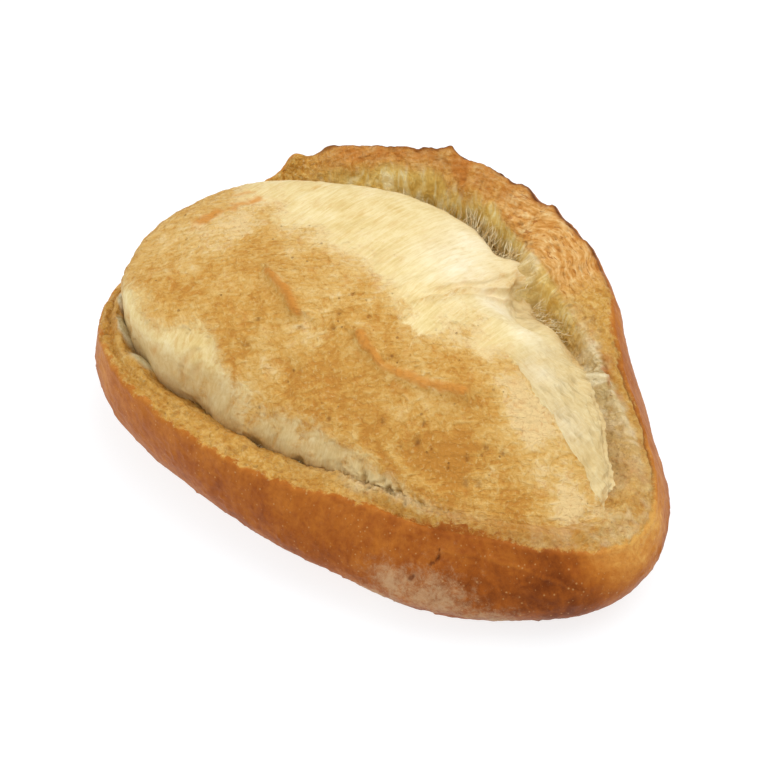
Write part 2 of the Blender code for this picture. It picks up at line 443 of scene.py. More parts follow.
def setInputs(node, inputs):  # each one a link from a socket, or a plain value
    for name, value in inputs.items():
        if isinstance(value, bpy.types.NodeSocket):
            node.id_data.links.new(value, node.inputs[name])
        else:
            node.inputs[name].default_value = value


def addNode(kind, inputs, **settings):  # gives the new node's outputs
    new = making["tree"].nodes.new("ShaderNode" + kind)
    for name, value in settings.items():
        setattr(new, name, value)
    setInputs(new, inputs)
    return new.outputs


def ramped(value, stops):  # a value's colour, from hex colours at some of its values
    new = addNode("ValToRGB", {"Fac": value})
    elements = new[0].node.color_ramp.elements
    while len(elements) < len(stops):
        elements.new(0.5)
    for element, (position, code) in zip(elements, stops.items()):
        element.position, element.color = position, srgb(code)
    return new["Color"]


def noised(vector, size, octaves=6, roughness=0.6, warp=0):
    return addNode("TexNoise", {"Vector": vector, "Scale": perMm(size), "Detail": octaves, "Roughness": roughness,
                                "Distortion": warp})["Fac"]


def eased(value, low, high, top=1):  # 0 below low, top above high, smooth between
    inputs = {"Value": value, "From Min": low, "From Max": high, "To Max": top}
    return addNode("MapRange", inputs, interpolation_type="SMOOTHSTEP")["Result"]


def sums(a, b, c=0, operation="MULTIPLY_ADD"):
    return addNode("Math", {0: a, 1: b, 2: c}, operation=operation)[0]


def reliefs(layers):  # bumps one over another: height, share if not everywhere, strength and depth in millimetres
    under = {}
    for height, share, strength, depth in layers:
        height = sums(height, share) if share else height
        under["Normal"] = addNode("Bump", {"Height": height, "Strength": strength, "Distance": depth * mm, **under})[0]
    return under["Normal"]


def stretched(vector, scale):
    return addNode("Mapping", {"Vector": vector, "Scale": scale})[0]


def dotted(place, size, fewest, largest, softness, top=1):  # dots of many sizes in some of the cells
    cells = addNode("TexVoronoi", {"Vector": place, "Scale": perMm(size)})
    chance = addNode("SeparateColor", {"Color": cells["Color"]})[0]
    radius = addNode("MapRange", {"Value": chance, "From Min": fewest, "To Max": largest})["Result"]
    return eased(sums(radius, cells["Distance"], operation="SUBTRACT"), 0, softness, top)


def startMaterial(name):
    material = bpy.data.materials.new(name)
    material.use_nodes = True
    making["tree"] = material.node_tree
    return material, material.node_tree.nodes["Principled BSDF"]


def layered(colour, layers):  # each (amount, colour) laid over what is there
    for amount, over in layers:
        over = srgb(over) if isinstance(over, str) else over
        colour = addNode("Mix", {0: amount, 6: colour, 7: over}, data_type="RGBA")[2]
    return colour


def channels(attribute):  # an attribute's red, green, blue and alpha
    source = addNode("Attribute", {}, attribute_name=attribute)
    parts = addNode("SeparateColor", {"Color": source["Color"]})
    return [parts[k] for k in range(3)] + [source["Alpha"]]


crustIor = 1.45  # bread, starch and oil all lie near this
goldLook = {
    "tones": {0.34: "c48736", 0.43: "d09a47", 0.5: "d9a95a", 0.58: "e2b96f", 0.68: "eccc90"},
    "blotch": "cc8636",
    "freckle": "bb7632",
    "glint": "f0d898",
    "poreShade": "95602c",
}


def goldenSkin(place, brown, look):
    # where the oven's heat has set the dough: gold mottled from pale to brown, with fine streaks and flakes, pale
    # flecks as painted glints on the flakes, and pores darkened with painted shade
    turn = {"Vector": place, "Rotation": (0, 0, math.radians(42)), "Scale": (4, 1, 2)}
    turned = addNode("Mapping", turn, vector_type="TEXTURE")[0]
    patch = noised(place, 14, 10, 0.64, 0.6)
    mottle = noised(place, 4, 8, 0.66, 1.2)
    streak = noised(turned, 1.7, 5, 0.62, 0.6)
    tone = sums(patch, 0.6, sums(mottle, 0.5, sums(streak, 0.4, sums(brown, -0.14, -0.25))))
    blotches = eased(noised(place, 7, 9, 0.66, 0.8), 0.54, 0.66, 0.35)
    fine = noised(place, 1.5, 4, 0.6, 0.5)
    poreShade = dotted(place, 3, 0.8, 0.26, 0.1)
    colour = layered(ramped(tone, look["tones"]), (
        (blotches, look["blotch"]),
        (eased(fine, 0.54, 0.7, 0.4), look["freckle"]),
        # painted glints on the flakes, then painted shade in the pores
        (eased(fine, 0.46, 0.32, 0.3), look["glint"]),
        (sums(poreShade, 0.6), look["poreShade"]),
    ))
    ripples = sums(noised(place, 4, 4, 0.5, 1.2), 1, sums(streak, 0.9, -0.95))
    relief = sums(fine, -0.5, sums(poreShade, -0.3, sums(ripples, 1, 0.25)))
    return colour, relief


doughLook = {
    "cream": {0.34: "dabf7c", 0.46: "e8d296", 0.55: "f0dea8", 0.66: "f7e9be"},
    "wall": {0.36: "d2b478", 0.46: "dcc188", 0.55: "e4cd98", 0.64: "ecd9a8"},
    "crumb": {0.4: "c2964c", 0.6: "e4c484"},
    "tanAndShade": "d3a456",
    "toast": "d7903c",
    "shade": "8e7038",
    "web": "ecd9a4",
    "highlight": "fdf5da",
    "roughness": 0.62,
    "specular": 0.2,
}


def makeDoughMaterial(look):
    # baked dough skin over stretched dough: matt, slightly silky, golden where the oven's heat reached it
    material, shader = startMaterial("golden baked dough skin")
    place = addNode("TexCoord", {})["Object"]
    flow = addNode("Attribute", {}, attribute_name="flow")["Vector"]
    skinField, wallField, toastField, shadeField = channels("doughMarks")
    brownField, crumbField, poreShadeField, tanAndShadeField = channels("doughTones")
    stripField, slowField, webField, highlightField = channels("doughBlends")

    # the golden skin ends in a ragged edge, soft or crisp as the field is
    rag = noised(place, 6, 12, 0.78, 0.6)
    crisp = eased(sums(rag, 1.7, sums(skinField, 1, -0.85)), 0.38, 0.62)
    slow = eased(sums(rag, 1.5, sums(skinField, 1, -0.75)), 0.2, 0.8)
    skin = addNode("Mix", {0: slowField, 2: crisp, 3: slow})[0]
    gold, goldRelief = goldenSkin(place, brownField, goldLook)

    # cream, with faint hair-like wrinkles that run across the loaf
    hair = noised(stretched(place, (1, 0.1, 0.35)), 1.2, 6, 0.66, 0.5)
    cloud = noised(place, 12, 9, 0.68)
    cream = ramped(sums(hair, 0.5, sums(cloud, 0.5)), look["cream"])
    strokes = noised(stretched(place, (1, 0.22, 0.5)), 2, 6, 0.7)
    tanned = sums(eased(strokes, 0.5, 0.62), tanAndShadeField)

    # the wall's fibres run up and down
    fibre = noised(stretched(flow, (1, 1, 0.3)), 2, 5, 0.6, 1.6)
    wall = ramped(sums(fibre, 0.5, sums(cloud, 0.5)), look["wall"])
    crumb = ramped(noised(place, 2.2, 8, 0.74), look["crumb"])

    colour = layered(cream, (
        (wallField, wall),
        (sums(tanned, 0.8), look["tanAndShade"]),
        (sums(stripField, 0.85), wall),
        # painted highlight where the dome faces the light
        (sums(highlightField, sums(hair, 1.6, -0.1)), look["highlight"]),
        (skin, gold),
        (sums(tanAndShadeField, 0.3), look["tanAndShade"]),
        (crumbField, crumb),
        (webField, look["web"]),
        (toastField, look["toast"]),
        # painted shade in the crevice, the pockets, the recess, the pore middles and on the wall's front
        (shadeField, look["shade"]),
        # painted shade in the skin's pits
        (poreShadeField, goldLook["poreShade"]),
    ))

    # relief: flakes on the skin, hair wrinkles on the cream, fibres on the wall
    normal = reliefs((
        (goldRelief, skin, 0.9, 1.5),
        (sums(hair, 1, -0.5), sums(skin, -1, 1), 0.35, 0.8),
        (sums(fibre, 1, -0.5), sums(wallField, stripField, operation="MAXIMUM"), 0.35, 1.2),
    ))
    setInputs(shader, {"Base Color": colour, "Normal": normal, "Roughness": look["roughness"], "IOR": crustIor,
                       "Specular IOR Level": look["specular"]})
    return material


crustLook = {
    "bake": {0: "6f3309", 0.3: "974f15", 0.6: "b36a23", 0.85: "c9873b", 1: "daa453"},
    "crumb": {0.36: "b47c2c", 0.45: "cc943e", 0.53: "dcab54", 0.61: "e8c06e", 0.7: "f3d690"},
    "bark": {0.38: "d08b3e", 0.46: "e0a254", 0.54: "eebb74", 0.62: "f9d698"},
    "split": "b8702e",
    "yellow": {0.36: "e6bf62", 0.46: "f1d17c", 0.55: "f9e299", 0.64: "fdeeba"},
    "pale": {0.4: "d8be86", 0.6: "f4e4ba"},
    "flake": "f2dca4",
    "toast": "bd6d25",
    "burntAndShade": "5e2c0c",
    "shade": "7c6234",
    "window": {0.4: "cbb988", 0.6: "e8dcb8"},
    "flour": "c4a279",
    "speck": "cf9f64",
    "dark": "6a350f",
    "roughness": 0.5,
    "specular": 0.13,
}


def makeCrustMaterial(look):
    # hearth-baked crust with a torn rim: the crust is tight and faintly glossy, the torn crumb matt and open
    material, shader = startMaterial("hearth baked crust")
    place = addNode("TexCoord", {})["Object"]
    flow = addNode("Attribute", {}, attribute_name="flow")["Vector"]
    tearField, toastField, shadeField, barkField = channels("crustMarks")
    bakeField, flourField, yellowField, burntAndShadeField = channels("crustTones")
    goldField, paleField, pitShadeField, windowField = channels("crustBlends")

    rag = noised(place, 3.5, 8, 0.7, 0.5)
    tear = eased(sums(rag, 0.8, sums(tearField, 1, -0.4)), 0.42, 0.6)

    # crust: bake tone from the field, cloudy, faintly streaked upwards, with pale specks and floury patches
    cloud = noised(place, 13, 12, 0.7, 0.4)
    streak = noised(stretched(flow, (1, 1, 0.2)), 2.5, 7, 0.66)
    mottle = sums(noised(place, 4, 6, 0.66, 0.8), 0.5, sums(streak, 0.3, -0.4))
    tone = sums(mottle, 1, sums(cloud, 1, sums(bakeField, 1, -0.5)))
    bake = ramped(tone, look["bake"])
    speck = dotted(place, 1.5, 0.4, 0.42, 0.3, 0.5)
    grit = noised(place, 1.3, 5, 0.62)
    flourNoise = sums(noised(place, 3.5, 9, 0.82, 0.3), 2, sums(flourField, 0.6, -0.92))
    flour = eased(flourNoise, 0.2, 1, 0.75)

    # torn crumb, golden skin, the ear's bark and its yellow inner face
    crumbNoise = noised(place, 3.2, 7, 0.64, 1)
    fibre = noised(stretched(flow, (1, 1, 0.35)), 4.5, 5, 0.56, 1.4)
    grain = noised(stretched(flow, (0.25, 0.25, 1)), 1.5, 6, 0.64)
    split = noised(stretched(flow, (0.3, 0.3, 1)), 1.7, 3, 0.5, 0.4)
    gold, goldRelief = goldenSkin(place, 0.3, goldLook)
    inside = layered(ramped(crumbNoise, look["crumb"]), (
        (eased(grit, 0.53, 0.66, 0.5), look["flake"]),
        (eased(grit, 0.46, 0.34, 0.25), look["toast"]),
        (goldField, gold),
        (paleField, ramped(fibre, look["pale"])),
        (yellowField, ramped(fibre, look["yellow"])),
        (barkField, ramped(sums(grain, 0.75, sums(crumbNoise, 0.25)), look["bark"])),
        (sums(eased(split, 0.6, 0.66, 0.75), barkField), look["split"]),
        (toastField, look["toast"]),
        # painted shade in the pits, then in the crevice and the webbed pores
        (pitShadeField, look["dark"]),
        (shadeField, look["shade"]),
        (windowField, ramped(fibre, look["window"])),
    ))
    colour = layered(bake, (
        (eased(grit, 0.54, 0.7, 0.22), look["dark"]),
        (speck, look["speck"]),
        (flour, look["flour"]),
        (tear, inside),
        # the ear's burnt rim, with painted shade in the cracks and the cleft
        (burntAndShadeField, look["burntAndShade"]),
    ))

    # relief: fibres on the ear's face, crumb, flakes, bark, then a leathery grain and the specks over all of it
    normal = reliefs((
        (sums(fibre, 1, -0.5), yellowField, 0.3, 1.6),
        (sums(crumbNoise, 1, sums(grit, 0.5, -0.75)), tear, 0.8, 1.6),
        (goldRelief, goldField, 0.6, 1.2),
        (sums(grain, 1, sums(eased(split, 0.56, 0.7), -0.12, -0.5)), barkField, 0.5, 1.4),
        (grit, None, 0.35, 0.5),
        (speck, None, 0.5, 0.4),
    ))
    setInputs(shader, {"Base Color": colour, "Normal": normal, "Roughness": look["roughness"], "IOR": crustIor,
                       "Specular IOR Level": look["specular"]})
    return material


# the dome
domeSettings = {
    "columns": 640,
    "rows": (42, 42, 28, 30, 5, 3),
    # outline of the golden skin in plan, counterclockwise from the tip
    "skin": [
        (118, -6), (108, -3), (95, 0), (86, 0), (79, 2), (70, 3), (62, 4), (55, 6), (45, 8), (34, 9), (27, 3),
        (25, -6), (22, -14), (14, -12), (4, -7), (-8, -2), (-20, 2), (-32, 1), (-46, -1), (-60, 1), (-74, 3),
        (-90, 8), (-112, 30), (-140, 20), (-140, -50), (-98, -59), (-87, -64), (-77, -65), (-66, -63), (-58, -59),
        (-50, -59), (-45, -63), (-36, -64), (-24, -64), (-12, -62), (0, -58), (9, -55), (20, -55), (34, -53),
        (43, -52), (55, -53), (66, -53), (80, -54), (100, -52), (130, -40),
    ],
    # folds: both ends in plan, height, half width on the left and right of the line, and toasting
    "folds": (
        (-47, -28, -36, -31, 2.3, 2.2, 1.3, 0.85), (-36, -31, -25, -34, 2.7, 2.4, 1.4, 0.95),
        (-44, -28, -26, -32, 2.2, 7, 2, 0), (3, -28, 14, -30, 2.5, 2.5, 1.1, 0.85),
        (14, -30, 24, -29, 1.5, 1.8, 1, 0.62), (24, -29, 38, -24, 2.3, 2.2, 1.1, 0.85),
        (38, -24, 49, -18, 2.3, 2.2, 1.1, 0.9), (49, -18, 57, -10, 1.2, 1.5, 1, 0.6), (4, -27, 48, -19, 2, 7, 2, 0),
        (2, 2, 20, 40, 1.6, 5, 3, 0), (20, 40, 22, 52, 1.6, 5, 3, 0), (10, -3, 16, 10, 1.3, 1.3, 0.8, 0.5),
        (16, 10, 18, 28, 1.6, 1.3, 0.8, 0.5), (18, 28, 21, 54, 1.6, 1.5, 0.8, 0.45), (15, 2, 21, 18, 1, 1, 0.7, 0.35),
        (21, 18, 25, 50, 1.3, 1.2, 0.7, 0.4), (9, 4, 13, 20, 0.9, 1, 0.7, 0.3), (13, 20, 16, 52, 1, 1.1, 0.7, 0.35),
    ),
    # thin creases in the wall, darkened along their lines with painted shade: angle and place of both ends, depth,
    # half width
    "creases": (
        (229.5, 1.9, 228.7, 2.6, 1.3, 1), (228.7, 2.6, 229.6, 3.3, 1.3, 1), (232.5, 2.1, 231, 2.7, 0.8, 0.8),
        (224, 2.3, 222.3, 2.9, 0.7, 0.8), (215.5, 2.2, 213.6, 3.1, 0.9, 1.1), (243, 2.7, 242, 3.3, 0.6, 0.9),
        (206, 2, 204.5, 3.2, 0.9, 1.2), (196, 2.2, 195, 3.3, 0.8, 1.2), (252, 2.7, 250.5, 3.4, 0.5, 0.9),
        (262, 2.8, 261, 3.5, 0.5, 0.9),
    ),
    # painted highlight, the dough made palest where the dome faces the light: centre in plan, half width, share
    "highlight": (
        (6, 30, 16, 0.8), (26, 30, 12, 0.8), (0, 46, 16, 0.6), (46, 26, 9, 0.6), (62, 16, 8, 0.4), (80, 8, 8, 0.4),
    ),
    # recess beside the bridging fold, sunk and darkened with painted shade: centre in plan, half width, depth
    "recess": ((24, 46, 5, 2.8), (30, 42, 5, 3.2), (36, 39, 4.5, 2.6), (43, 36, 3.5, 1.4)),
    # hollows: centre in plan, half width, depth
    "hollows": ((38, 0, 17, 3.5), (34, 34, 9, 3), (-17, -52, 5, 1.8), (-98, -38, 14, 1.5)),
    # toasted marks: both ends in plan, half width, share
    "marks": (
        (-95, -18, -85, 6, 3.2, 0.85), (-96, 2, -90, 9, 1.5, 0.5), (-74, 21, -71, 29, 0.9, 0.4),
        (-73, 5, -72, 14, 0.8, 0.35), (-56, -19, -51, -8, 0.9, 0.35), (-42, 17, -40, 27, 1, 0.25),
        (-38, 3, -38, 11, 1.1, 0.25), (-31, -8, -29, -2, 1.1, 0.25),
    ),
    # faint light brown strokes: both ends in plan, half width, share; the two along the skin's front edge near y -64
    # are painted shade
    "tans": (
        (13, 2, 18, 16, 3, 0.7), (18, 16, 18, 38, 3.5, 0.7), (18, 38, 22, 54, 5, 0.8), (14, 10, 19, 50, 7, 0.5),
        (-60, 10, -20, 14, 12, 0.3), (-78, -64, -70, -66, 7, 0.4), (-62, -64, -48, -63, 6, 0.6),
        (-100, 4, -76, 30, 12, 0.4), (40, 4, 58, 4, 8, 0.4), (-20, 8, 10, 0, 8, 0.2), (-74, 14, -40, 24, 9, 0.4),
        (-50, 34, -16, 30, 12, 0.3),
    ),
    # browner spots in the skin, and paler ones: centre in plan, half width, share
    "browner": (
        (-12, -48, 10, 0.4), (-46, -51, 10, 0.5), (42, -44, 12, 0.5), (-10, -46, 14, 0.5), (-36, -38, 10, 0.4),
        (20, -46, 14, 0.4), (52, -30, 18, 0.4), (-60, -46, 12, 0.3), (30, -20, 9, 0.3), (-63, -21, 12, 1),
        (60, -33, 10, 0.8), (88, -30, 12, 1), (10, -24, 9, 0.8), (-36, -4, 10, 0.5), (8, -48, 10, 0.6),
        (50, -42, 10, 0.6), (-72, -52, 10, 0.6), (-82, -28, 22, -0.6), (-52, -12, 14, -0.4), (36, -27, 9, -1),
        (84, -8, 10, -0.8), (-98, -20, 10, -0.7), (-27, -53, 8, -0.5), (-30, -18, 12, -0.4), (96, -30, 12, -0.3),
        (-66, -60, 8, -0.5), (70, -4, 9, -1.8), (56, -2, 7, -1), (102, -12, 10, -1.4), (-80, -12, 9, -1.2),
        (-18, -38, 9, -1),
    ),
    # pits, sunk and darkened with painted shade: centre in plan, radius, depth
    "pits": [
        (43, -39, 1.7, 1.5), (49, -37, 1, 0.8), (62, -31, 1.4, 1.2), (58, -37, 1, 0.9), (66, -24, 1, 0.8),
        (72, -21, 1.2, 0.9), (27, -42, 1.4, 0.8), (38, -43, 1, 0.8), (42, -34, 0.9, 0.7), (8, -52, 1, 0.8),
        (57, -17, 0.9, 0.7), (66, -36, 2.6, 0.9), (70, -33, 2, 0.7), (-37, -44, 1, 0.9), (-11, -25, 1.3, 1),
        (0, -20, 0.9, 0.7), (-9, -31, 1.5, 1.1), (-21, -37, 0.8, 0.6), (-12, -16, 1, 0.7), (-12, -47, 1, 0.6),
        (-52, -20, 0.9, 0.7), (-36, -52, 1.2, 0.7),
    ],
    "bulges": ((2.2, 256, 30), (-0.6, 213, 14)),  # height, middle angle and half width
    # pockets under the wall's foot, sunk and darkened with painted shade: angle, half width, depth
    "pockets": (
        (213.5, 3.5, 1.2), (220.5, 2.6, 1), (232.5, 2.2, 1.2), (237, 2, 1), (254, 4.5, 1.4), (271, 3, 1.6),
        (281, 3, 1.4), (300, 1.6, 1.2), (311.5, 1.6, 1.2), (319, 1.4, 1),
    ),
}


def makeDome(settings, material):
    sheet = layOut(settings["columns"], settings["rows"], domePath, 0)
    points, place, degrees, flow = (sheet[k] for k in ("points", "place", "degrees", "flow"))
    rough, near = partial(soft, points), partial(wedge, degrees)
    past, before = partial(ramp, place), partial(fade, place)
    x, y = points[..., 0], points[..., 1]
    onTop = before(2.5, 3.5)
    topSide = before(2.4, 2.8)
    opened, inSight = openness(degrees), place < 4.3  # the rest is hidden inside the crust
    # the golden skin fades slowly into the cream at the back and ends crisply on the right
    back = ramp(y, -16, 0) * fade(x, 46, 58)
    right = ramp(x, 44, 58) * ramp(y, -20, -8)
    slow = highest(back, (1 - right) * 0.75)
    depth = depthInside(settings["skin"], x, y)
    depth = depth + rough(13, 40, 4) * (3.5 + 6 * back - 2.6 * right)
    depth = depth + 1.2 * right * rough(4, 84, 3)
    skinField = 0.5 + np.clip(depth / (2 * (7 + 13 * back - 4.5 * right)), -0.5, 0.5)
    skin = ramp(skinField, 0.2, 0.8)
    wall = past(2, 2.7)
    height = 1.3 * formLumps(points, 34, 4) * onTop
    toast = poreShade = tanAndShade = ridge = pocket = crease = recess = 0 * x
    bentX, bentY = x + 0.9 * rough(6, 44, 3), y + 0.9 * rough(6, 43, 3)
    for x0, y0, x1, y1, foldHeight, leftHalf, rightHalf, share in settings["folds"]:
        onLeft = (x1 - x0) * (bentY - y0) > (y1 - y0) * (bentX - x0)
        profile = bump(fromLine(bentX, bentY, x0, y0, x1, y1), np.where(onLeft, leftHalf, rightHalf)) * topSide
        if share > 0:
            ridge = highest(ridge, foldHeight * profile)
        else:
            height += foldHeight * profile
        if share > 0.6:
            toast = highest(toast, share * ramp(profile, 0.3, 0.8))
        else:
            tanAndShade = highest(tanAndShade, 2 * share * ramp(profile, 0.2, 0.8))
    height += ridge
    height -= sum(spots(x, y, settings["hollows"])) * topSide
    for x0, y0, x1, y1, half, share in settings["marks"]:
        profile = bump(fromLine(x + 1.4 * rough(3, 45, 3), y, x0, y0, x1, y1), half) * topSide
        amount = share * ramp(profile + 0.45 * rough(3, 47, 3), 0.3, 1)
        if share > 0.45:
            toast = highest(toast, amount)
        else:
            tanAndShade = highest(tanAndShade, 2 * amount)
        height -= 0.3 * profile
    for x0, y0, x1, y1, half, share in settings["tans"]:
        tanAndShade = highest(tanAndShade, share * bump(fromLine(x, y, x0, y0, x1, y1), half) * before(3.4, 4))
    brown = sum(spots(x, y, settings["browner"]))
    for px, py, radius, pitDepth in settings["pits"]:
        distance = np.hypot(x - px, y - py) + 0.35 * rough(1.5, 42, 2)
        pit = bump(distance, radius * 0.7) * topSide * skin
        rim = bump(distance - radius * 1.4, radius * 0.5) * topSide * skin
        height += 0.4 * pitDepth * rim - 1.2 * pitDepth * pit
        # the pits are darkened with painted shade
        poreShade = highest(poreShade, 0.6 * ramp(pit, 0.35, 0.9) * min(1, pitDepth))
    # the skin is a thin, slightly blistered layer whose edge curls up on the right, beside a sunken pale strip
    height += 0.4 * ramp(depth, -0.6, 0.6) * (1 - back) * topSide
    height += (0.2 + 0.9 * right) * np.exp(-highest(depth, 0) / 3.5) * ramp(depth, -0.5, 0.5) * topSide
    height -= 2.4 * right * ramp(-depth, -0.5, 4) * before(3.2, 3.9)
    height += skin * onTop * (0.4 * rough(12, 31, 4) + 0.5 * ridged(points, 5, 32, 4) - 0.3)
    height += skin * onTop * 0.22 * soft(points * (0.5, 1, 1), 2.2, 36, 2)
    pulled = points * (1, 0.16, 0.4)
    height += 0.26 * soft(pulled, 2.6, 35, 3) * (1 - skin) * onTop
    stripShare = right * ramp(-depth, 0, 2) * before(3.2, 3.8)
    height += stripShare * (1.5 * ridged(stirred(points, 2, 7, 87) * (0.9, 0.35, 0.6), 3.2, 85, 3) - 0.9)
    height += wall * (1 - skin) * (0.14 * soft(flow * (1, 1, 0.3), 3, 33, 3) + 0.9 * soft(flow * (1, 1, 0.5), 14, 34))
    # the wall bulges over the tear in front
    for swell, centre, half in settings["bulges"]:
        height += swell * near(centre, half) * past(2.4, 3.3)
    height += soft(flow * (1, 1, 0), 11, 37, 3) * past(3, 3.8)
    for angle, half, deep in settings["pockets"]:
        share = bump(degreesApart(degrees, angle) + 0.8 * rough(3, 38, 2), half)
        share = share * ramp(place + 0.12 * rough(4, 39, 2), 3.4, 3.8)
        pocket = highest(pocket, share)
        height -= deep * share
    for angle0, place0, angle1, place1, deep, half in settings["creases"]:
        a, b = (flow[np.argmin(abs(place[:, 0] - p)), np.argmin(abs(degrees[0] - d))]
                for d, p in ((angle0, place0), (angle1, place1)))
        t = np.clip(((flow - a) @ (b - a)) / ((b - a) @ (b - a)), 0, 1)
        distance = norm(flow - a - t[..., None] * (b - a), axis=-1) + 0.3 * rough(4, 69, 2)
        line = bump(distance, half) * (0.3 + 0.7 * np.sin(np.pi * (0.1 + 0.8 * t)))
        crease = highest(crease, line)
        height += deep * (0.5 * bump(distance - 1.5 * half, half) - line)
    # painted shade along the creases, in the strokes' darker colour and a little toast
    tanAndShade = highest(tanAndShade, 0.9 * crease)
    toast = highest(toast, 0.2 * crease)
    for hx, hy, half, deep in settings["recess"]:
        spot = bump(np.hypot(x - hx, y - hy) + 0.8 * rough(4, 68, 2), half) * past(1.2, 1.7)
        recess = highest(recess, spot)
        height -= deep * spot * inSight
    # the lower wall breaks up into pores where the tear is shallow
    shallow = highest(near(307, 22), near(8, 13) * 0.8)
    lower = past(2.7, 3.3) * before(4.1, 4.5)
    webPoints = flow * (1, 1, 0.5) + rough(5, 48, 2)[..., None] * 1.5
    middle, between = pores(webPoints, 3.6, 7)
    height += lower * shallow * (2.4 * between - 1.5)
    height += recess * (1.2 * between - 0.8)
    web = highest(lower * shallow * 0.7, recess * 0.6) * ramp(between, 0.45, 0.8)
    outerStrip = right * ramp(-depth, 2.5, 6) * before(3.4, 3.9) * ramp(x, 58, 72)
    outerStrip *= ramp(rough(6, 92, 2), -0.5, 0.3)
    height += outerStrip * (between - 0.6)
    height += lower * (1 - shallow) * 0.5 * soft(flow * (1, 1, 0.5), 3, 49, 3)
    # painted shade: deep in the open crevice, in the middles of the pores, in the pockets and the recess, and on the
    # front of the wall, which turns away from the light
    shade = highest(
        ramp(place + 0.22 * soft(flow * (1, 1, 0.5), 4, 46, 3), 3.7, 4.02) * opened * 0.9,
        lower * shallow * ramp(0.55 - middle, 0, 0.25) * 0.7,
        outerStrip * ramp(0.5 - middle, 0, 0.3) * 0.35,
        0.5 * pocket,
        recess * (0.12 + 0.3 * ramp(0.6 - middle, 0, 0.3)),
        past(1.7, 2.6) * (1 - skin) * 0.26 * near(264, 46),
    )
    strip = right * ramp(-depth, -0.5, 3)
    # painted highlight: the dough made palest where the dome faces the light
    highlightShare = highest(*spots(x, y, settings["highlight"]))
    highlightShare = np.clip(highlightShare + 0.4 * highlightShare * soft(pulled, 6, 86, 3), 0, 1)
    crumb = past(3.2, 3.8) * 0.6 * ramp(rough(6, 50, 3), -0.4, 0.3)
    moved = points + sheet["normals"] * (height * inSight)[..., None]
    brown = brown - 1.6 * back * fade(skinField, 0.3, 1)
    fields = {"doughMarks": (skinField, wall, toast, shade), "doughTones": (brown, crumb, poreShade, tanAndShade),
              "doughBlends": (strip, slow, web, highlightShare)}
    return makePiece("loaf_dome", sheet, moved, fields, material)


dome = makeDome(domeSettings, makeDoughMaterial(doughLook))
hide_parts("bread_loaf")
print("dome made", len(dome.data.vertices))

# the lower crust, with its torn ledge and ear
crustSettings = {
    "columns": 1000,
    "rows": (2, 3, 18, 24, 34, 9, 5, 4),
    "bake": (0.38, 0.42, 0.45, 0.45, 0.5, 0.62, 0.76, 0.6, 0.38, 0.32, 0.34, 0.26),
    "golden": (1, 0.85, 0.2, 0, 0, 0, 0.1, 0.45, 0.55, 0.55, 0.7, 1),  # share of golden skin in the tear
    "paleTip": (-1, 12, 0.52),  # angle, half width, share
    "closedFill": (3.5, 3, 0, 0, 0, 0, 5, 6.5, 3.5, 2.5, 6, 6),  # how far the tear is filled where it's closed
    "grooveFill": 2,  # and left with a narrow groove where it's open
    "bridge": (73, 7, 5.5),  # where dough bridges the tear: middle angle, half width, rise
    # smooth grey windows of stretched dough: angle, place, half widths, rise
    "windows": ((213, 4.2, 3.6, 0.6, 9), (220.5, 4.15, 3.2, 0.55, 8.5), (205, 4.2, 3.6, 0.5, 6)),
    # where the crust reaches further in: middle angle, half width, distance
    "reach": ((345, 10, 2.2), (328, 12, 3.6), (308, 12, 2.4), (288, 12, 2.4), (268, 12, 1.4), (245, 12, 0.8)),
    # thin raised seams in the crust: both ends in space, height, half width
    "seams": (
        ((73, -58, 41), (86, -49, 41), 0.6, 0.3), ((86, -49, 41), (109, -37, 36), 0.5, 0.3),
        ((109, -37, 36), (123, -29, 28), 0.3, 0.3),
    ),
    "crumbRelief": 1.2,
    "pleatRelief": 2.6,
    # torn tufts: angle and place, half widths, height, toasting
    "tufts": (
        (29.5, 5.2, 1.6, 0.35, 2.6, 0.8), (26, 4.7, 1.2, 0.3, 1.8, 0.7), (33, 5.5, 1.8, 0.3, 2, 0.6),
        (24, 5.3, 1.5, 0.3, 1.2, 0.5), (213, 5.1, 2.5, 0.5, 1.6, 0.3), (203, 5.3, 3, 0.4, 1.6, 0.3),
    ),
    # flour: centre in degrees and height, half widths, share
    "flour": (
        (328, 17, 9, 8, 0.9), (337, 13, 8, 7, 0.5), (319, 24, 9, 13, 1.1), (310, 26, 7, 9, 1.2),
        (306, 12, 10, 9, 1.1), (332, 12, 7, 8, 1), (236, 10, 10, 6, 0.6), (338, 10, 9, 6, 0.6), (262, 5, 14, 5, 0.5),
    ),
    # cracks, sunk and darkened with painted shade: both ends in space, depth, half width
    "cracks": (
        ((72, -58, 42), (73, -60, 39), 0.8, 0.3), ((73, -60, 39), (71, -63, 35), 0.7, 0.25),
        ((67, -68, 31), (64, -69, 26), 0.7, 0.3),
    ),
    "cleft": (22, 15),  # a cleft along the rim, sunk and darkened with painted shade: middle angle and half width
    # blisters: count, seed, then the ranges of angle, height, radius and rise
    "blisters": (420, 8, ((180, 380), (3, 44), (0.5, 1.4), (0.15, 0.45))),
    "mmPerDegree": 1.7,  # about, along the flank
}


